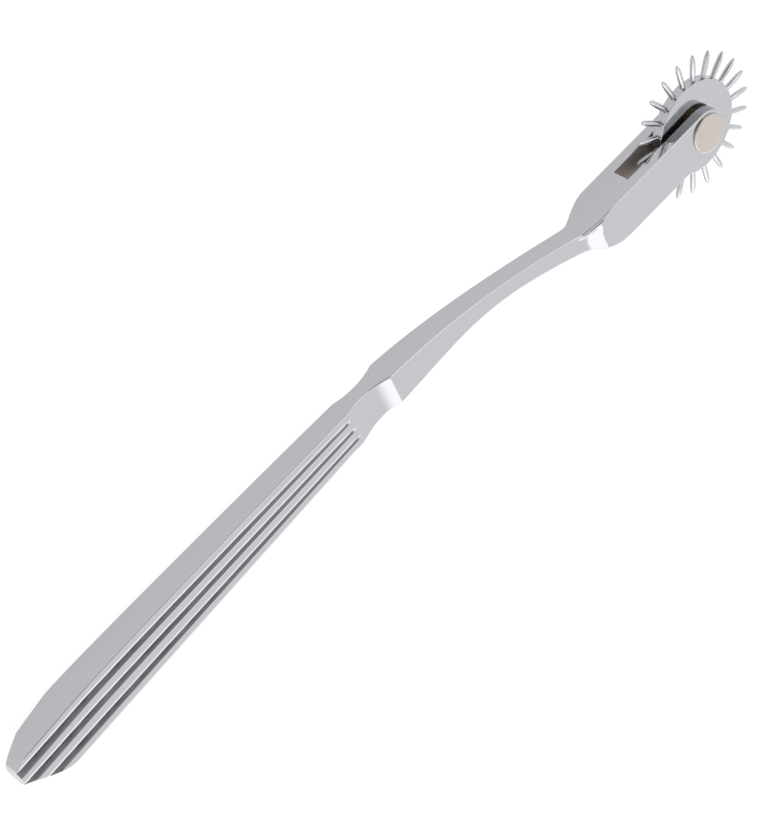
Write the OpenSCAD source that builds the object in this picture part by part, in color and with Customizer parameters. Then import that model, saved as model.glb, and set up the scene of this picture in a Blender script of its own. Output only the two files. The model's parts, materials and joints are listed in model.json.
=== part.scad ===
// Neurological pinwheel: a one-piece polished handle whose fork carries a free-spinning
// spiked wheel on a two-piece rivet. It lies on its side on the plane z = 0.
// +X runs from the wheel along the handle to its butt end, -Y is the back edge of the
// handle, and +Z is the wheel's axis. The origin is the centre of the lower rivet head's face.

/* [Wheel] */
// Radius of the circle through the spike tips
tip_r = 14; // [13:0.5:16]
// Number of spikes round the rim
spike_count = 22; // [16:1:26]
// Radius of the wheel's disc
disc_r = 9.1; // [8.5:0.1:9.5]
// Thickness of the wheel's disc
disc_t = 2.1; // [1.8:0.1:2.4]
// Depth that each spike is set into the rim
spike_seat = 1.9; // [1.5:0.1:2.5]
// Radius of the part of a spike that sits in the rim
spike_seat_r = 0.42; // [0.35:0.01:0.5]
// Largest radius of a spike outside the rim
spike_belly_r = 0.52; // [0.45:0.01:0.6]
// Turn of the wheel at rest, in degrees
rest_turn = 3.2; // [0:0.2:16]

/* [Fork] */
// Width of the fork across both ears, along the wheel's axis
fork_w = 7.6; // [7:0.1:8]
// Height of the fork, in the plane of the wheel
fork_h = 8.65; // [8:0.05:9]
// Width of the slot that the wheel turns in
slot_w = 3.5; // [3.3:0.1:3.8]
// Distance from the wheel's axis to the end of the slot
slot_end = 17.6; // [17:0.1:19]

/* [Axle] */
// Radius of the rivet's tube, the surface that the wheel turns on
axle_r = 1.95; // [1.8:0.05:2.1]
// Radius of the rivet's inner pin
pin_r = 1.1; // [1:0.05:1.2]
// Radial clearance between the tube and the wheel
run_gap = 0.05; // [0.03:0.01:0.09]
// Radius of the rivet's flat heads
head_r = 3.7; // [3.4:0.05:4]
// Thickness of each rivet head
head_t = 0.45; // [0.4:0.05:0.8]
// Bevel round each rivet head
head_bevel = 0.25; // [0.15:0.05:0.35]

/* [Handle] */
// Distance from the wheel's axis to the butt end
butt_x = 165.6; // [164:0.2:168]
// Half the thickness of the grip at the butt
grip_half_butt = 3; // [2.7:0.1:3.2]
// Half the thickness of the grip at the shoulder
grip_half_shoulder = 2.05; // [1.9:0.05:2.3]
// Depth of the grooves at the butt
flute_depth_butt = 0.9; // [0.7:0.05:1.1]
// Depth of the grooves at the shoulder
flute_depth_shoulder = 0.45; // [0.35:0.05:0.6]

/* [Hidden] */
mid_z = fork_w / 2 + head_t;       // height of the wheel's mid-plane
top_z = 2 * mid_z;                 // height of the upper rivet head's face
curve_steps = 16;                  // pieces in each Bezier curve
disc_bevel = 0.25;                 // bevel round the disc
spacer_gap = 0.05;                 // axial play between a spacer and the disc
spacer_t = (slot_w - disc_t) / 2 - spacer_gap;
spacer_r = 3.2;                    // outer radius of a spacer
bore_r = axle_r + run_gap;         // wheel's bore
wedge = 90;                        // included angle of a groove
flute_end_x = 84.5;                // where the grooves stop at the shoulder
flute_start_x = butt_x + 2;        // the grooves run out of the butt end
flute_span = flute_start_x - flute_end_x;
// Height of each groove as a share of the grip's height, from the back edge
flute_shares = [0.22, 0.505, 0.79];
back_butt_y = -12.6;               // back edge at the butt
back_shoulder_y = -13.4;           // back edge at the shoulder
belly_butt_y = -1.6;               // belly edge at the butt
belly_shoulder_y = -5.4;           // belly edge at the shoulder
scoop_r = 14.5;                    // radius of the thumb scoops beside the shoulder
scoop_x = 81.2;                    // centre of the scoops
scoop_half = 1.5;                  // half thickness left between the scoops
shoulder_x = 76.3;                 // where the scoops meet the neck
shoulder_half = 2.6;               // half thickness there
cap_t = 0.3;                       // metal left under the upper head, over the pin's hole
pin_gap = 0.3;                     // space between the pin's tip and the end of its hole
hole_end_z = top_z - head_t - cap_t;

// A point on a cubic Bezier curve
function bezier(p, t) = pow(1 - t, 3) * p[0] + 3 * pow(1 - t, 2) * t * p[1]
                      + 3 * (1 - t) * t * t * p[2] + pow(t, 3) * p[3];
// The curve's points from its start up to, but not including, its end
function curve(p, steps = curve_steps) = [for (i = [0 : steps - 1]) bezier(p, i / steps)];
// An arc about the wheel's axis, in degrees
function arc(r, a0, a1, steps) =
    [for (i = [0 : steps]) r * [cos(a0 + (a1 - a0) * i / steps), sin(a0 + (a1 - a0) * i / steps)]];

// Outline of the handle in the plane of the wheel
function side_outline() = concat(
    arc(fork_h / 2, 90, 270, 24),
    curve([[23.5, -fork_h / 2], [25.3, -fork_h / 2], [27.8, -3.35], [30.6, -2.95]], 8),
    curve([[30.6, -2.95], [59, -12.7], [72.9, -12.95], [84, back_shoulder_y]], 24),
    curve([[84, back_shoulder_y], [87.4, -13.6], [140.4, -13.55], [152, back_butt_y]]),
    curve([[152, back_butt_y], [157, -12.1], [163.8, -12.3], [butt_x, -10]], 12),
    curve([[butt_x, -5.2], [163.9, -3.6], [160.2, -1.75], [154, belly_butt_y]], 12),
    [[84, belly_shoulder_y]],
    curve([[78.5, -6.25], [58.6, -6.2], [54.4, -9.2], [28, 2.6]], 28),
    curve([[28, 2.6], [26.4, 3.3], [25.4, fork_h / 2], [22, fork_h / 2]], 8)
);

// Half thickness of the handle from the nose to the butt, for one side
function half_plan() = concat(
    [[-fork_h, fork_w / 2], [24.7, fork_w / 2]],
    curve([[24.8, fork_w / 2], [28, fork_w / 2], [28.6, 2.15], [33, 1.95]], 12),
    curve([[33, 1.95], [50.7, 1.35], [74.1, 2.75], [shoulder_x, shoulder_half]]),
    [for (i = [0 : 10]) let (x = shoulder_x + (84.6 - shoulder_x) * i / 10)
        [x, scoop_half + scoop_r - sqrt(scoop_r * scoop_r - pow(x - scoop_x, 2))]],
    [[flute_end_x + 0.5, grip_half_shoulder], [154, grip_half_butt],
     [butt_x - 0.6, grip_half_butt], [butt_x + 0.01, grip_half_butt - 0.6]]
);
function plan_outline() = concat(
    half_plan(),
    [for (i = [len(half_plan()) - 1 : -1 : 0]) [half_plan()[i][0], -half_plan()[i][1]]]
);

// Height of the groove with the given share, at the shoulder or at the butt
function flute_y(share, back, belly) = back + share * (belly - back);
// One V-shaped groove on the upper side, as a long wedge that points down into the grip
module flute_cutter(share) {
    y0 = flute_y(share, back_shoulder_y, belly_shoulder_y);
    y1 = flute_y(share, back_butt_y, belly_butt_y);
    z0 = grip_half_shoulder - flute_depth_shoulder;
    z1 = grip_half_butt - flute_depth_butt;
    run = atan2(y1 - y0, flute_span);
    dip = atan2(z1 - z0, flute_span);
    reach = 2.4;                   // height of the wedge above its edge
    half = reach * tan(wedge / 2);
    translate([flute_end_x, y0, z0]) rotate([0, -dip, run]) rotate([90, 0, 90])
        linear_extrude(height = flute_span + 4)
            polygon([[0, 0], [half, reach], [-half, reach]]);
}

// Handle, neck and fork, forged in one piece
module handle_body() {
    color([0.72, 0.73, 0.76]) difference() {
        intersection() {
            linear_extrude(height = fork_w) polygon(side_outline());
            translate([0, 20, fork_w / 2]) rotate([90, 0, 0])
                linear_extrude(height = 40) polygon(plan_outline());
        }
        // slot for the wheel, open at the nose
        translate([-fork_h, -fork_h, (fork_w - slot_w) / 2])
            cube([fork_h + slot_end, 2 * fork_h, slot_w]);
        // holes for the rivet
        translate([0, 0, -1]) cylinder(h = fork_w + 2, r = axle_r, $fn = 64);
        // grooves on both sides of the grip
        for (side = [1, -1], share = flute_shares)
            translate([0, 0, fork_w / 2]) scale([1, 1, side]) flute_cutter(share);
    }
}

// Wheel's disc, bored for the axle and drilled for the spikes
module wheel_disc() {
    half = disc_t / 2;
    color([0.66, 0.67, 0.7]) difference() {
        rotate_extrude($fn = 96) polygon([
            [bore_r, -half], [disc_r - disc_bevel, -half], [disc_r, disc_bevel - half],
            [disc_r, half - disc_bevel], [disc_r - disc_bevel, half], [bore_r, half]]);
        for (i = [0 : spike_count - 1]) rotate([0, 90, i * 360 / spike_count])
            translate([0, 0, disc_r - spike_seat])
                cylinder(h = spike_seat + 1, r = spike_seat_r, $fn = 24);
    }
}

// One spike along +Z from the bottom of its hole to its tip
module spike() {
    foot = disc_r - spike_seat;
    length = tip_r - disc_r;
    rotate_extrude($fn = 24) polygon([
        [0, foot], [spike_seat_r, foot], [spike_seat_r, disc_r + 0.02],
        [spike_belly_r, disc_r + 0.3 * length], [0.92 * spike_belly_r, disc_r + 0.55 * length],
        [0.68 * spike_belly_r, disc_r + 0.8 * length], [0.34 * spike_belly_r, tip_r - 0.25],
        [0.1, tip_r], [0, tip_r]]);
}

module wheel_spikes() {
    color([0.8, 0.81, 0.84])
        for (i = [0 : spike_count - 1]) rotate([0, 90, i * 360 / spike_count]) spike();
}

// Headed tube, the half of the rivet that enters from above
module rivet_tube() {
    color([0.66, 0.62, 0.57]) rotate_extrude($fn = 96) polygon([
        [pin_r, head_t], [axle_r, head_t], [axle_r, top_z - head_t], [head_r, top_z - head_t],
        [head_r, top_z - head_bevel], [head_r - head_bevel, top_z], [0, top_z],
        [0, hole_end_z], [pin_r, hole_end_z]]);
}

// Headed pin, pressed into the tube from below
module rivet_pin() {
    color([0.66, 0.62, 0.57]) rotate_extrude($fn = 96) polygon([
        [0, 0], [head_r - head_bevel, 0], [head_r, head_bevel], [head_r, head_t],
        [pin_r, head_t], [pin_r, hole_end_z - pin_gap], [0, hole_end_z - pin_gap]]);
}

// Thin ring that keeps the wheel central in the slot
module spacer() {
    color([0.7, 0.66, 0.5]) difference() {
        cylinder(h = spacer_t, r = spacer_r, $fn = 64);
        translate([0, 0, -1]) cylinder(h = spacer_t + 2, r = axle_r, $fn = 64);
    }
}
module spacer_upper() { translate([0, 0, mid_z + slot_w / 2 - spacer_t]) spacer(); }
module spacer_lower() { translate([0, 0, mid_z - slot_w / 2]) spacer(); }

translate([0, 0, head_t]) handle_body();
translate([0, 0, mid_z]) rotate(rest_turn) wheel_disc();
translate([0, 0, mid_z]) rotate(rest_turn) wheel_spikes();
rivet_tube();
rivet_pin();
spacer_upper();
spacer_lower();
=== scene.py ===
"""Neurological pinwheel: polished chrome handle, free-spinning spiked wheel, two-piece rivet."""
import json
import math

import bmesh
import bpy
import numpy as np
from mathutils import Matrix, Vector

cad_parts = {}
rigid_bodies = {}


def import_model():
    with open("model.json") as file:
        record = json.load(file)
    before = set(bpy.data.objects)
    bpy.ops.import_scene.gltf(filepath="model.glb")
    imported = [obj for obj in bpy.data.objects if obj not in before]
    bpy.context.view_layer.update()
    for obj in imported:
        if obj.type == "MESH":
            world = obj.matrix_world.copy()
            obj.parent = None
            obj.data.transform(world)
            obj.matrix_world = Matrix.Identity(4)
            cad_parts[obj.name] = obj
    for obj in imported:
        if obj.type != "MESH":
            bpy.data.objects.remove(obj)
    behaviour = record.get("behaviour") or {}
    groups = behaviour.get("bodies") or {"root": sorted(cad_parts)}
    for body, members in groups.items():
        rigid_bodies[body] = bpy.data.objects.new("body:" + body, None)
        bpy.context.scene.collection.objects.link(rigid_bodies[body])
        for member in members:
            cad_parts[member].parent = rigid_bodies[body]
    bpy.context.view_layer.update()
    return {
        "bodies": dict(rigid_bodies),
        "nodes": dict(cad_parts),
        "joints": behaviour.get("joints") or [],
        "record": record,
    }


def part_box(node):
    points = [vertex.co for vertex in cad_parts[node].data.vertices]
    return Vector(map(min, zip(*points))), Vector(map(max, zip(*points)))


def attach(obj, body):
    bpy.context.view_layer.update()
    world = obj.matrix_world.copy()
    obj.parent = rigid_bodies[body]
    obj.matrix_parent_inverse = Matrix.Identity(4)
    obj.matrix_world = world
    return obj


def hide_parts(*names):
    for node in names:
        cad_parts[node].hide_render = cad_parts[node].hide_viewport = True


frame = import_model()

MM = 0.001
handle_lo, handle_hi = (np.array(v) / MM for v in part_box("handle_body"))
disc_lo, disc_hi = (np.array(v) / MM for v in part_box("wheel_disc"))
tube_lo, tube_hi = (np.array(v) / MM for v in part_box("rivet_tube"))
pin_lo, pin_hi = (np.array(v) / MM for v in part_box("rivet_pin"))
upper_lo, upper_hi = (np.array(v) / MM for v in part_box("spacer_upper"))
lower_lo, lower_hi = (np.array(v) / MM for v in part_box("spacer_lower"))

MID_Z = (handle_lo[2] + handle_hi[2]) / 2     # height of the wheel's mid-plane
FORK_HALF = (handle_hi[2] - handle_lo[2]) / 2
NOSE_R = -handle_lo[0]
BUTT_X = handle_hi[0]
DISC_R = disc_hi[0]
HEAD_R = tube_hi[0]
TUBE_R = 1.95                                 # rivet's tube, the wheel's axle
PIN_R = 1.1                                   # rivet's inner pin
BORE_R = 2.0                                  # wheel's bore


# ---------------------------------------------------------------- materials

def material(name):
    mat = bpy.data.materials.new(name)
    mat.use_nodes = True
    tree = mat.node_tree
    return mat, tree, tree.nodes["Principled BSDF"]


def noise(tree, coords, scale, detail=3.0, stretch=(1, 1, 1)):
    mapping = tree.nodes.new("ShaderNodeMapping")
    mapping.inputs["Scale"].default_value = stretch
    tree.links.new(coords, mapping.inputs["Vector"])
    node = tree.nodes.new("ShaderNodeTexNoise")
    node.inputs["Scale"].default_value = scale
    node.inputs["Detail"].default_value = detail
    tree.links.new(mapping.outputs["Vector"], node.inputs["Vector"])
    return node.outputs["Fac"]


def remap(tree, value, lo, hi, to_lo, to_hi):
    node = tree.nodes.new("ShaderNodeMapRange")
    for key, number in zip(("From Min", "From Max", "To Min", "To Max"), (lo, hi, to_lo, to_hi)):
        node.inputs[key].default_value = number
    tree.links.new(value, node.inputs["Value"])
    return node.outputs["Result"]


def math_node(tree, operation, a, b):
    node = tree.nodes.new("ShaderNodeMath")
    node.operation = operation
    for socket, v in zip(node.inputs, (a, b)):
        if isinstance(v, (int, float)):
            socket.default_value = v
        else:
            tree.links.new(v, socket)
    return node.outputs["Value"]


def mix_color(tree, factor, a, b):
    node = tree.nodes.new("ShaderNodeMix")
    node.data_type = "RGBA"
    tree.links.new(factor, node.inputs["Factor"])
    for key, v in (("A", a), ("B", b)):
        socket = [s for s in node.inputs if s.name == key and s.type == "RGBA"][0]
        if isinstance(v, tuple):
            socket.default_value = (*v, 1)
        else:
            tree.links.new(v, socket)
    return [s for s in node.outputs if s.type == "RGBA"][0]


def bump(tree, bsdf, height, distance):
    node = tree.nodes.new("ShaderNodeBump")
    node.inputs["Distance"].default_value = distance
    tree.links.new(height, node.inputs["Height"])
    tree.links.new(node.outputs["Normal"], bsdf.inputs["Normal"])


UNPOLISHED = (0.46, 0.42, 0.39)          # bare metal inside the slot
GROOVE_SHADE_COLOR = (0.07, 0.065, 0.062)             # painted shade for the grooves, darkest at their bottoms
EVEN = (1, 1, 1)                         # grain that runs in no one direction


def plated(name, light, dark, rough, grain, groove_shade=None, stretch=(0.06, 1, 1), distance=1e-7):
    """Plated metal with polishing grain and soft smudges, painted shade darkening the grooves towards their
    bottoms, and an unpolished slot. light and dark are the grain's tints, rough the range of roughness,
    grain its scale."""
    mat, tree, bsdf = material(name)
    coords = tree.nodes.new("ShaderNodeTexCoord").outputs["Object"]
    bsdf.inputs["Metallic"].default_value = 1.0
    streaks = noise(tree, coords, grain, 4.0, stretch)
    smudge = noise(tree, coords, 90.0, 3.0)
    tint = mix_color(tree, remap(tree, streaks, 0.3, 0.7, 0, 1), dark, light)
    roughness = math_node(tree, "ADD",
                          remap(tree, smudge, 0.35, 0.75, rough[0], rough[1]),
                          remap(tree, streaks, 0.3, 0.7, 0.0, 0.03))
    # painted shade: the grooves are darkened towards their bottoms by a point attribute, broken up by fine
    # specks
    if groove_shade:
        attribute = tree.nodes.new("ShaderNodeAttribute")
        attribute.attribute_name = "groove_shade"
        specks = noise(tree, coords, 1300.0, 5.0, (0.25, 1, 1))
        amount = math_node(tree, "MULTIPLY", attribute.outputs["Fac"],
                           remap(tree, specks, 0.35, 0.62, 0.45, 1.15))
        tint = mix_color(tree, amount, tint, groove_shade)
        roughness = math_node(tree, "ADD", roughness,
                              math_node(tree, "MULTIPLY", attribute.outputs["Fac"], 0.2))
        unpolished = tree.nodes.new("ShaderNodeAttribute")
        unpolished.attribute_name = "dull"
        tint = mix_color(tree, unpolished.outputs["Fac"], tint, UNPOLISHED)
        roughness = math_node(tree, "ADD", roughness,
                              math_node(tree, "MULTIPLY", unpolished.outputs["Fac"], 0.4))
    tree.links.new(tint, bsdf.inputs["Base Color"])
    tree.links.new(roughness, bsdf.inputs["Roughness"])
    bump(tree, bsdf, streaks, distance)
    return mat


chrome = plated("polished_chrome", (0.455, 0.458, 0.480), (0.442, 0.446, 0.467), (0.05, 0.12),
                2600.0, groove_shade=GROOVE_SHADE_COLOR)
wheel_chrome = plated("wheel_chrome", (0.455, 0.458, 0.480), (0.430, 0.434, 0.455), (0.05, 0.11),
                      1500.0, stretch=(1, 1, 0.2))
spike_steel = plated("spike_steel", (0.50, 0.50, 0.52), (0.44, 0.44, 0.46), (0.06, 0.12),
                     1800.0, stretch=EVEN)
nickel = plated("nickel_rivet", (0.50, 0.455, 0.425), (0.47, 0.425, 0.395), (0.14, 0.20),
                1900.0, stretch=EVEN)
brass = plated("spacer_brass", (0.55, 0.42, 0.24), (0.45, 0.33, 0.18), (0.2, 0.3),
               1500.0, stretch=EVEN)


# ---------------------------------------------------------------- mesh helpers

MERGE = 1e-7             # distance in metres within which points are one


def link(name, data):
    obj = bpy.data.objects.new(name, data)
    bpy.context.scene.collection.objects.link(obj)
    return obj


def piece(name, verts, faces, mat, body, node, sharp=26.0, shades=None, cuts=()):
    """A closed mesh from millimetre points. It rides on a body and stands for a CAD node.
    shades: per-point numbers for the material. cuts: planes (point, normal) that trim the mesh."""
    mesh = bpy.data.meshes.new(name)
    mesh.from_pydata([tuple(v * MM) for v in np.asarray(verts, float)], [], faces)
    for key, values in (shades or {}).items():
        layer = mesh.attributes.new(key, "FLOAT", "POINT")
        layer.data.foreach_set("value", np.asarray(values, np.float32))
    bm = bmesh.new()
    bm.from_mesh(mesh)
    bmesh.ops.remove_doubles(bm, verts=bm.verts, dist=MERGE)
    bmesh.ops.dissolve_degenerate(bm, edges=bm.edges, dist=1e-8)
    for point, normal in cuts:
        cut = bmesh.ops.bisect_plane(bm, geom=bm.verts[:] + bm.edges[:] + bm.faces[:], dist=MERGE,
                                     plane_co=[v * MM for v in point], plane_no=normal, clear_outer=True)
        rim = [g for g in cut["geom_cut"] if isinstance(g, bmesh.types.BMEdge)]
        bmesh.ops.holes_fill(bm, edges=rim, sides=0)
    bmesh.ops.recalc_face_normals(bm, faces=bm.faces)
    bm.to_mesh(mesh)
    bm.free()
    mesh.polygons.foreach_set("use_smooth", [True] * len(mesh.polygons))
    mesh.set_sharp_from_angle(angle=math.radians(sharp))
    mesh.materials.append(mat)
    obj = link(name, mesh)
    weighted = obj.modifiers.new("weighted_normals", "WEIGHTED_NORMAL")
    weighted.keep_sharp = True
    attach(obj, body)
    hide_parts(node)


def lathe(profile, steps, ripple=None):
    """Points and faces of a profile [(radius, z)] turned about the Z axis. Ends at radius 0 close it."""
    verts, faces, rows = [], [], []
    for r, z in profile:
        if r < 1e-9:
            rows.append([len(verts)] * steps)
            verts.append((0.0, 0.0, z))
            continue
        start = len(verts)
        for i in range(steps):
            a = 2 * math.pi * i / steps
            rr = r if ripple is None else ripple(r, z, a)
            verts.append((rr * math.cos(a), rr * math.sin(a), z))
        rows.append(list(range(start, start + steps)))
    if profile[0] == profile[-1]:
        rows[-1] = rows[0]
    for a, b in zip(rows, rows[1:]):
        for i in range(steps):
            j = (i + 1) % steps
            faces.append(list(dict.fromkeys([a[i], a[j], b[j], b[i]])))
    return np.array(verts), faces


def round_corner(points, radius, index, steps=4):
    """Replaces one corner of a profile with an arc."""
    p = np.array(points[index])
    a = np.array(points[index - 1]) - p
    b = np.array(points[(index + 1) % len(points)]) - p
    a, b = a / np.linalg.norm(a), b / np.linalg.norm(b)
    return [tuple(p + a * radius * (1 - t) ** 2 + b * radius * t ** 2)
            for t in np.linspace(0, 1, steps + 1)]


def rounded_profile(points, radii):
    """A profile with its corners rounded: one radius per point, 0 to keep the corner."""
    out = []
    for i, (p, r) in enumerate(zip(points, radii)):
        out += round_corner(points, r, i) if r else [p]
    return out


# ---------------------------------------------------------------- handle

def bezier(p, count=400):
    t = np.linspace(0, 1, count)[:, None]
    p = np.array(p, float)
    return ((1 - t) ** 3 * p[0] + 3 * (1 - t) ** 2 * t * p[1]
            + 3 * (1 - t) * t ** 2 * p[2] + t ** 3 * p[3])


CREASE_X = 30.6          # where the fork's back edge meets the neck
GRIP_X = 84.0            # where the neck ends and the grip begins
GROOVE_X = 84.6          # where the grooves start, beside the thumb scoop
BUTT_CURVE_X = 154.0     # where the belly starts to curve up to the butt
LOFT_END_X = BUTT_X + 1.0
SLOT_X = 17.6            # end of the wheel's slot
SLOT_HALF = 1.75
SLOT_BEVEL = 0.1

back_curve = np.vstack([
    [[0, -NOSE_R]],
    bezier([[23.5, -NOSE_R], [25.3, -NOSE_R], [27.8, -3.35], [CREASE_X, -2.95]]),
    bezier([[CREASE_X, -2.95], [59, -12.7], [72.9, -12.95], [GRIP_X, -13.4]]),
    bezier([[GRIP_X, -13.4], [87.4, -13.6], [140.4, -13.55], [152, -12.6]]),
    [[LOFT_END_X, -11.35]],
])
belly_curve = np.vstack([
    [[0, NOSE_R]],
    bezier([[22, NOSE_R], [25.4, NOSE_R], [26.4, 3.3], [28, 2.6]]),
    bezier([[28, 2.6], [54.4, -9.2], [58.6, -6.2], [78.5, -6.25]]),
    [[GRIP_X, -5.4], [BUTT_CURVE_X, -1.6], [LOFT_END_X, -1.0]],
])
neck_half = bezier([[33, 2.0], [50.7, 1.4], [74.1, 2.8], [76.3, 2.62]])


def along(curve, x):
    return np.interp(x, curve[:, 0], curve[:, 1])


def inward(curve, x, side):
    """Unit vector into the metal, square to an outline. side is 1 for the back edge, -1 for the belly."""
    step = 0.04
    slope = (along(curve, x + step) - along(curve, x - step)) / (2 * step)
    n = np.array([-slope, 1.0]) * side
    return n / np.linalg.norm(n)


def smooth(t):
    t = np.clip(t, 0, 1)
    return t * t * (3 - 2 * t)


# Thumb scoops beside the shoulder: round hollows across the grip
SCOOP_R = 14.5
SCOOP_X = 81.2
SCOOP_HALF = 1.5         # half thickness left between the scoops
GRIP_HALF_FRONT = 2.05   # half thickness of the grip at the shoulder
GRIP_HALF_BUTT = 3.0     # and at the butt
# The fork's side face ends in an arc: share of the height from the back edge, and x
FORK_END = ((0, 24.7), (0.04, 26.3), (0.13, 27.15), (0.32, 27.65), (0.6, 27.9), (1, 27.75))
NECK_START = 32.6        # where the hollow behind the fork ends, at the back edge
# The handle's stretches: fork and hollow, plain neck, shoulder with scoops, then the grip
NECK_X, SHOULDER_X, SHOULDER_END_X = 50.0, 70.0, 88.0


def scoop_half(x):
    """Half thickness of the grip's shoulder inside the thumb scoops."""
    return SCOOP_HALF + SCOOP_R - math.sqrt(SCOOP_R ** 2 - (x - SCOOP_X) ** 2)


def fork_half(x, v):
    """Half thickness of the fork and of the hollow that falls from it to the neck."""
    neck = along(neck_half, x)
    end = np.interp(v, *zip(*FORK_END))
    foot = NECK_START - 1.2 * smooth(v / 0.3)
    t = np.clip((x - end) / (foot - end), 0, 1)
    at_corner = 1 - smooth(t)
    hollow = (1 - t) ** 2.2
    blend = smooth(v / 0.2)
    return neck + (FORK_HALF - neck) * (at_corner * (1 - blend) + hollow * blend)


def half_thickness(x, v):
    """Half thickness of the handle at x; v runs from 0 at the back edge to 1 at the belly."""
    if x < NECK_X:
        return fork_half(x, v)
    if x < SHOULDER_X:
        return along(neck_half, x)
    taper = np.clip((x - GROOVE_X) / (BUTT_CURVE_X - GROOVE_X), 0, 1.1)
    grip = GRIP_HALF_FRONT + (GRIP_HALF_BUTT - GRIP_HALF_FRONT) * taper
    if x < SHOULDER_END_X:
        return min(scoop_half(x), grip if x > SCOOP_X else along(neck_half, x))
    return grip


# For each groove: share of the grip's height at the shoulder and at the butt, then its width
# at the two ends
GROOVES = ((0.222, 0.195, 0.88, 1.75), (0.512, 0.497, 0.92, 1.62), (0.793, 0.808, 0.82, 1.6))
# Distance from a groove's middle as a share of its half width, and depth as a share of its depth
GROOVE_SECTION = ((0.0, 0.93), (0.14, 0.86), (0.5, 0.5), (0.8, 0.21), (0.92, 0.105), (1.0, 0.055),
                  (1.1, 0.02), (1.25, 0.0))
WALL_SLOPE = 1.2         # depth of a groove for each millimetre of its half width
GROOVE_RAMP = 1.1        # length over which a groove reaches its depth
GROOVE_FULL_X = 152.0    # where the grooves reach their full width
GROOVE_SHADE_X = 88.0           # where the grooves' painted shade starts, growing over the run given next
GROOVE_SHADE_RUN = 50.0
GROOVE_SHADE_END_X = 163.5      # where the painted shade fades, to leave the end face clean
GROOVE_SHADE_FADE = 1.8
LAND_CROWN = 0.07        # height of the flat lands' middles over their edges
LAND_ROWS = (0.2, 0.5, 0.8)


def groove_rows(x, tall, groove):
    """Rows across one groove at x: share of the grip's height, height over it, groove shade."""
    share_front, share_butt, width_front, width_butt = groove
    t = np.clip((x - GROOVE_X) / (GROOVE_FULL_X - GROOVE_X), 0, 1.2)
    middle = share_front + (share_butt - share_front) * t
    half = (width_front + (width_butt - width_front) * t) / 2
    start = GROOVE_X + 0.9 - 0.8 * share_front                # the grooves' ends lie on a slant
    depth = WALL_SLOPE * half * smooth((x - start) / GROOVE_RAMP)
    # painted shade: the grooves darken towards the butt and most at their bottoms, fading before the end
    # face
    shade = 0.95 * smooth((x - GROOVE_SHADE_X) / GROOVE_SHADE_RUN) * (1 - smooth((x - GROOVE_SHADE_END_X) / GROOVE_SHADE_FADE))
    across = [(-u, d) for u, d in GROOVE_SECTION[::-1]] + list(GROOVE_SECTION[1:])
    return [(middle + u * half / tall, -d * depth, shade * d) for u, d in across]


def grip_rows(x):
    """Rows across the grip's side face at x, with the flat lands between the grooves."""
    tall = max(along(belly_curve, at) - along(back_curve, at) for at in (x, GRIP_X))
    grooves = [groove_rows(x, tall, groove) for groove in GROOVES]
    edges = [0.0] + [rows[end][0] for rows in grooves for end in (0, -1)] + [1.0]
    out = []
    for k, (lo, hi) in enumerate(zip(edges[::2], edges[1::2])):
        for f in LAND_ROWS:
            crown = LAND_CROWN * (1 - (2 * f - 1) ** 2) * smooth((x - GROOVE_X) / 3)
            out.append((lo + (hi - lo) * f, crown, 0.0))
        if k < len(grooves):
            out += grooves[k]
    return out


def corner_radius(x):
    """Radius of the polished edge between the handle's back and its sides."""
    return np.interp(x, [24, 28, 33, 40, 66, 76, 84], [0.2, 0.28, 0.42, 0.28, 0.28, 0.28, 0.25])


def outline_frames():
    """For each station along the handle: back and belly points, and the directions into the metal."""
    frames = []
    for degrees in (6, 14, 22, 30, 38, 46, 54, 62, 70, 78, 84):        # round the nose
        c, s = math.cos(math.radians(degrees)), math.sin(math.radians(degrees))
        x, y = -NOSE_R * c, NOSE_R * s
        frames.append((np.array([x, -y]), np.array([x, y]), np.array([c, s]), np.array([c, -s])))
    xs = np.concatenate([
        np.arange(0, SLOT_X - 0.7, 1.1), [SLOT_X], [SLOT_X + SLOT_BEVEL],
        np.arange(18.5, 21.5, 1.0), np.arange(21.5, 36, 0.3),
        [CREASE_X - 0.1, CREASE_X, CREASE_X + 0.1],
        np.arange(36, 74.5, 1.0), np.arange(74.6, 88.6, 0.28),
        np.arange(89.5, LOFT_END_X, 2.0), [LOFT_END_X]])
    for x in np.unique(np.round(xs, 4)):
        into_back = inward(back_curve, x, 1) if x > 0.1 else np.array([0, 1.0])
        into_belly = inward(belly_curve, x, -1) if x > 0.1 else np.array([0, -1.0])
        frames.append((np.array([x, along(back_curve, x)]), np.array([x, along(belly_curve, x)]),
                       into_back, into_belly))
    return frames


CORNER_STEPS = np.radians([0, 18, 36, 54, 72, 90])


def half_section(back, belly, into_back, into_belly):
    """Points of one side at a station, from the back edge over the side face to the belly, with
    heights from the mid-plane; then their groove shades, and where the flat edges end."""
    r = min(float(corner_radius(back[0])), 0.45 * (belly[1] - back[1]))
    a, b = back + into_back * r, belly + into_belly * r
    half_a, half_b = float(half_thickness(a[0], 0.0)), float(half_thickness(b[0], 1.0))

    def corner(edge, into, half, angles):
        points = []
        for angle in angles:
            p = edge + into * r * (1 - math.cos(angle))
            points.append((p[0], p[1], half - r * (1 - math.sin(angle)), 0.0))
        return points

    rows = corner(back, into_back, half_a, CORNER_STEPS)
    for share, height, shade in grip_rows(back[0]):
        p = a + (b - a) * share
        rows.append((p[0], p[1], float(half_thickness(p[0], share)) + float(height), float(shade)))
    rows += corner(belly, into_belly, half_b, CORNER_STEPS[::-1])
    rows = np.array(rows)
    return rows[:, :3], rows[:, 3], (half_a - r, half_b - r)


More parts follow.
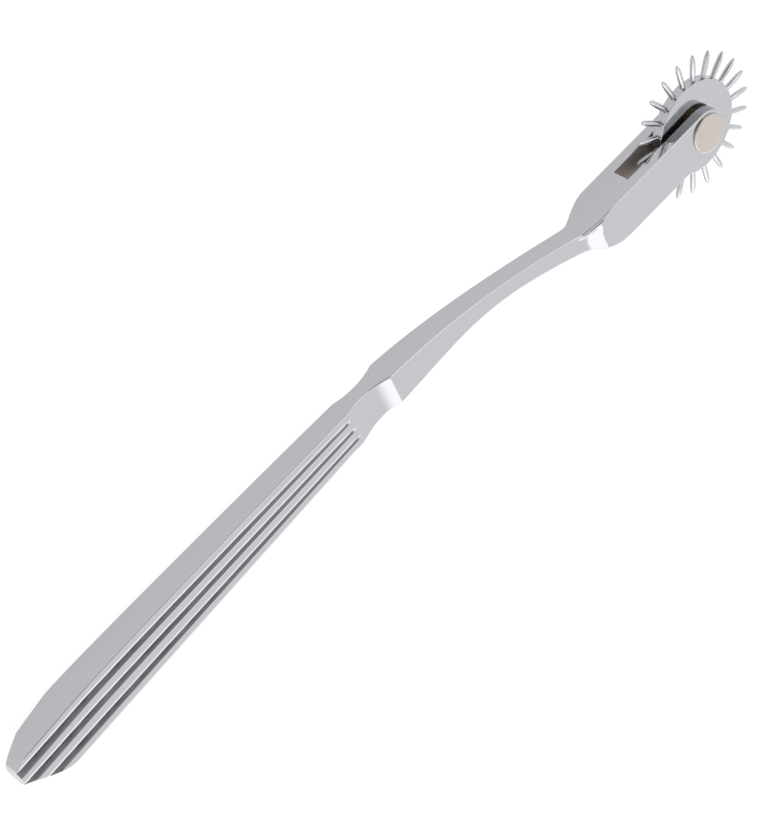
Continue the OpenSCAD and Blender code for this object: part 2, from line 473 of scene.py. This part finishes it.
def handle_mesh():
    """The handle lofted from the nose past the butt, in two halves joined behind the slot."""
    frames = outline_frames()
    sections = [half_section(*frame) for frame in frames]
    verts, faces, groove_shade, dull = [], [], [], []

    def add(points, shades, unpolished=0.0):
        start = len(verts)
        verts.extend(points)
        groove_shade.extend(shades)
        dull.extend([unpolished] * len(points))
        return list(range(start, start + len(points)))

    # each row: inner back edge, the side's points, inner belly edge
    skin, edges = {1: [], -1: []}, {1: [], -1: []}
    for (back, belly, *_), (side, shades, flats) in zip(frames, sections):
        for s in (1, -1):
            points = side * (1, 1, s) + (0, 0, MID_Z)
            row = add([tuple(p) for p in points], shades)
            limit = SLOT_HALF + SLOT_BEVEL
            heights = [limit if back[0] < SLOT_X + 0.5 else min(limit, 0.7 * flat) for flat in flats]
            ends = add([(*edge, MID_Z + s * h) for edge, h in zip((back, belly), heights)], [0, 0])
            edges[s].append(ends)
            skin[s].append([ends[0]] + row + [ends[1]])
    n = len(frames)
    slot_i = next(i for i, frame in enumerate(frames) if abs(frame[0][0] - SLOT_X) < 1e-6)
    for s in (1, -1):
        for row, after in zip(skin[s], skin[s][1:]):
            for j in range(len(row) - 1):
                faces.append([row[j], row[j + 1], after[j + 1], after[j]])
    # strips between the halves, behind the slot
    upper, lower = edges[1], edges[-1]
    for i in range(slot_i + 1, n - 1):
        for c in (0, 1):
            faces.append([upper[i][c], lower[i][c], lower[i + 1][c], upper[i + 1][c]])
    # slot: each ear's inner face, then the end wall
    wall = {}
    for s in (1, -1):
        inner = []
        for back, belly, *_ in frames[:slot_i + 1]:
            inset = min(SLOT_BEVEL, 0.3 * (belly[1] - back[1]))
            z = MID_Z + s * SLOT_HALF
            inner.append(add([(back[0], back[1] + inset, z), (belly[0], belly[1] - inset, z)], [0, 0], 1.0))
        for i in range(slot_i):
            outer_a, outer_b, inner_a, inner_b = edges[s][i], edges[s][i + 1], inner[i], inner[i + 1]
            for c in (0, 1):
                faces.append([outer_a[c], outer_b[c], inner_b[c], inner_a[c]])
            faces.append([inner_a[0], inner_b[0], inner_b[1], inner_a[1]])
        faces.append(skin[s][0] + inner[0][::-1])                  # the nose closes each ear
        wall[s] = inner[slot_i]
        for c in (0, 1):
            faces.append([edges[s][slot_i][c], wall[s][c], edges[s][slot_i + 1][c]])
    faces.append([wall[1][0], wall[1][1], wall[-1][1], wall[-1][0]])
    for c in (0, 1):
        faces.append([wall[1][c], wall[-1][c], lower[slot_i + 1][c], upper[slot_i + 1][c]])
    faces.append(skin[1][-1] + skin[-1][-1][::-1])                 # the loft's end, cut off later
    return np.array(verts), faces, groove_shade, dull


# The back edge rolls over to the end face
BUTT_ROLL = ((162.6, -11.73), (163.9, -11.45), (164.8, -10.95), (165.35, -10.3), (BUTT_X, -9.6))
# The far side is ground towards the back edge: three facets, by three points each, with heights
# from the mid-plane
FAR_FACETS = (((159.3, -11.5, -2.9), (160.85, -10.05, -2.9), (160.15, -11.9, -2.2)),
              ((160.85, -10.05, -2.9), (162.45, -8.67, -2.9), (162.5, -11.75, -1.9)),
              ((162.45, -8.67, -2.9), (164.4, -7.9, -2.9), (164.5, -11.3, -1.5)))
BELLY_CUTS = 10          # planes along the belly's curve


def butt_cuts():
    """Planes that trim the butt: the belly curves up to the end face and arches across it."""
    cuts = []
    curve = bezier([[BUTT_CURVE_X, -1.6], [160.2, -1.75], [163.9, -3.6], [BUTT_X, -5.0]], BELLY_CUTS + 1)
    for k, (a, b) in enumerate(zip(curve, curve[1:])):
        out = np.array([-(b - a)[1], (b - a)[0]]) / np.linalg.norm(b - a)
        middle = (a + b) / 2
        arch = 0.02 + 0.5 * (k / (BELLY_CUTS - 1)) ** 2      # fall away from the middle
        for z, tilt in ((0, 0), (1.0, arch), (-1.0, -arch), (2.1, 2 * arch), (-2.1, -2 * arch)):
            drop = arch * max(0.0, abs(z) - 0.5)
            cuts.append(((*(middle - out * drop), MID_Z + z), (*out, tilt)))
    cuts.append(((BUTT_X, -8, MID_Z), (1, 0, 0)))
    for facet in FAR_FACETS:
        p, q, r = (np.array(v) + (0, 0, MID_Z) for v in facet)
        cuts.append((p, np.cross(q - p, r - p)))
    for (xa, ya), (xb, yb) in zip(BUTT_ROLL, BUTT_ROLL[1:]):
        cuts.append((((xa + xb) / 2, (ya + yb) / 2, MID_Z), (yb - ya, xa - xb, 0)))
    return cuts


verts, faces, groove_shade, dull = handle_mesh()
# the grooves' painted shade and the slot's unpolished finish ride on the mesh as point attributes
piece("handle", verts, faces, chrome, "handle", "handle_body",
      shades={"groove_shade": groove_shade, "dull": dull}, cuts=butt_cuts())


# ---------------------------------------------------------------- wheel

SPIKES = 22
REST_TURN = math.radians(3.2)     # turn of the wheel at rest
RIM_WIDTH = 0.2                   # part of the disc that the scallops shape
SCALLOP = 0.06                    # half the depth of a scallop


def wheel_disc():
    top, bottom = disc_hi[2], disc_lo[2]
    profile = rounded_profile(
        [(BORE_R, top), (DISC_R, top), (DISC_R, bottom), (BORE_R, bottom)], [0.08, 0.16, 0.16, 0.08])
    profile.append(profile[0])

    def scalloped(r, z, a):
        """The rim is a little lower between the needles."""
        if r < DISC_R - RIM_WIDTH:
            return r
        return r - SCALLOP * (1 - math.cos(SPIKES * (a - REST_TURN)))

    return lathe(profile, 528, scalloped)


verts, faces = wheel_disc()
piece("wheel_disc_turned", verts, faces, wheel_chrome, "wheel", "wheel_disc")


def needles():
    """One spindle-shaped needle after another round the rim, each a closed lathe."""
    # distance from the axle and radius, from inside the rim to the tip
    shape = [(8.2, 0.0), (8.2, 0.55), (9.0, 0.55), (9.2, 0.53), (9.4, 0.49), (9.7, 0.48), (10.2, 0.52),
             (11.2, 0.53), (12.2, 0.52), (12.8, 0.48), (13.2, 0.43), (13.55, 0.35), (13.8, 0.25),
             (13.94, 0.14), (14.0, 0.0)]
    unit, unit_faces = lathe([(radius, reach) for reach, radius in shape], 20)
    verts, faces = [], []
    for k in range(SPIKES):
        a = REST_TURN + 2 * math.pi * k / SPIKES
        start = len(verts)
        for x, y, z in unit:
            verts.append((z * math.cos(a) - x * math.sin(a), z * math.sin(a) + x * math.cos(a), MID_Z + y))
        faces += [[start + i for i in f] for f in unit_faces]
    return np.array(verts), faces


verts, faces = needles()
piece("wheel_needles", verts, faces, spike_steel, "wheel", "wheel_spikes", sharp=50)


# ---------------------------------------------------------------- rivet and spacers

HEAD_EDGE = 0.25         # rounding of the heads' rims
CAP_T = 0.3              # metal left over the pin's hole
RIVET_STEPS = 160


def rivet_head_tube():
    """Upper half of the rivet: a flat head on a tube."""
    top, under, foot = tube_hi[2], handle_hi[2], tube_lo[2]
    hole_end = under - CAP_T
    points = [(0, top), (HEAD_R, top), (HEAD_R, under), (TUBE_R, under), (TUBE_R, foot), (PIN_R, foot),
              (PIN_R, hole_end), (0, hole_end)]
    radii = [0, HEAD_EDGE, 0.05, 0, 0.05, 0.05, 0, 0]
    return lathe(rounded_profile(points, radii), RIVET_STEPS)


verts, faces = rivet_head_tube()
piece("rivet_upper", verts, faces, nickel, "handle", "rivet_tube")


def rivet_head_pin():
    """Lower half of the rivet: a flat head on the pin that is driven into the tube."""
    bottom, under, tip = pin_lo[2], handle_lo[2], pin_hi[2]
    points = [(0, tip), (PIN_R, tip), (PIN_R, under), (HEAD_R, under), (HEAD_R, bottom), (0, bottom)]
    radii = [0, 0.12, 0, 0.05, HEAD_EDGE, 0]
    return lathe(rounded_profile(points, radii), RIVET_STEPS)


verts, faces = rivet_head_pin()
piece("rivet_lower", verts, faces, nickel, "handle", "rivet_pin")

for name, lo, hi in (("spacer_upper", upper_lo, upper_hi), ("spacer_lower", lower_lo, lower_hi)):
    outer = hi[0]
    profile = rounded_profile(
        [(TUBE_R, hi[2]), (outer, hi[2]), (outer, lo[2]), (TUBE_R, lo[2])], [0.04] * 4)
    profile.append(profile[0])
    verts, faces = lathe(profile, 96)
    piece(name + "_turned", verts, faces, brass, "handle", name)


# ---------------------------------------------------------------- stage, light, camera

def floor():
    mesh = bpy.data.meshes.new("floor")
    bm = bmesh.new()
    bmesh.ops.create_grid(bm, x_segments=1, y_segments=1, size=3.0)
    bm.to_mesh(mesh)
    bm.free()
    mat, tree, bsdf = material("floor_card")
    bsdf.inputs["Emission Strength"].default_value = 0.95       # an evenly lit white table
    bsdf.inputs["Emission Color"].default_value = (1, 1, 1, 1)
    bsdf.inputs["Base Color"].default_value = (0.1, 0.1, 0.1, 1)
    bsdf.inputs["Roughness"].default_value = 1.0
    bsdf.inputs["Specular IOR Level"].default_value = 0.0
    mesh.materials.append(mat)
    link("floor", mesh)


floor()


ROOM_LIGHT = 1.25


def studio_world():
    """An evenly lit pale room with three soft boxes, darker behind the camera."""
    world = bpy.data.worlds.new("studio")
    bpy.context.scene.world = world
    world.use_nodes = True
    tree = world.node_tree
    direction = tree.nodes.new("ShaderNodeTexCoord").outputs["Generated"]

    def patch(vector, inner_deg, outer_deg, share):
        """1 away from a direction, changing to a share of that round it."""
        dot = tree.nodes.new("ShaderNodeVectorMath")
        dot.operation = "DOT_PRODUCT"
        tree.links.new(direction, dot.inputs[0])
        dot.inputs[1].default_value = Vector(vector).normalized()
        node = tree.nodes.new("ShaderNodeMapRange")
        node.interpolation_type = "SMOOTHSTEP"
        node.inputs["From Min"].default_value = math.cos(math.radians(outer_deg))
        node.inputs["From Max"].default_value = math.cos(math.radians(inner_deg))
        node.inputs["To Min"].default_value = 1.0
        node.inputs["To Max"].default_value = share
        tree.links.new(dot.outputs["Value"], node.inputs["Value"])
        return node.outputs["Result"]

    level = ROOM_LIGHT
    for vector, inner_deg, outer_deg, share in (
            ((0.55, 0.62, 0.55), 24, 38, 1.7),         # wide soft box behind the part
            ((-0.40, -0.30, 0.87), 9, 22, 1.7),        # small soft box overhead
            ((-0.20, 0.95, 0.20), 8, 21, 1.6),         # low strip of light at the back
            ((0.25, -0.80, 0.50), 26, 44, 0.42),       # the unlit room behind the camera
            ((-0.2, -1.0, 0.05), 26, 50, 0.75)):       # and in front of the table
        level = math_node(tree, "MULTIPLY", level, patch(vector, inner_deg, outer_deg, share))
    background = tree.nodes["Background"]
    background.inputs["Color"].default_value = (1.0, 1.0, 1.0, 1)
    tree.links.new(level, background.inputs["Strength"])


studio_world()


def camera():
    """The camera looks down on the part lying on its side, with the handle running to the lower left."""
    data = bpy.data.cameras.new("camera")
    cam = link("camera", data)
    azimuth, elevation, roll = math.radians(21.6), math.radians(39.2), math.radians(120.5)
    target = Vector((77.41, -3.78, 4.22)) * MM
    distance = 566.3 * MM
    back = Vector((math.sin(azimuth) * math.cos(elevation), -math.cos(azimuth) * math.cos(elevation),
                   math.sin(elevation)))
    right = (-back).cross(Vector((0, 0, 1))).normalized()
    up = right.cross(-back)
    cam_right = right * math.cos(roll) + up * math.sin(roll)
    cam_up = back.cross(cam_right)
    turn = Matrix((cam_right, cam_up, back)).transposed()
    cam.matrix_world = Matrix.Translation(target + back * distance) @ turn.to_4x4()
    data.sensor_width = 36.0
    data.lens = 3357.9 / 825 * 36.0
    data.clip_start, data.clip_end = 0.01, 20
    bpy.context.scene.camera = cam


camera()
bpy.context.scene.view_settings.view_transform = "Standard"
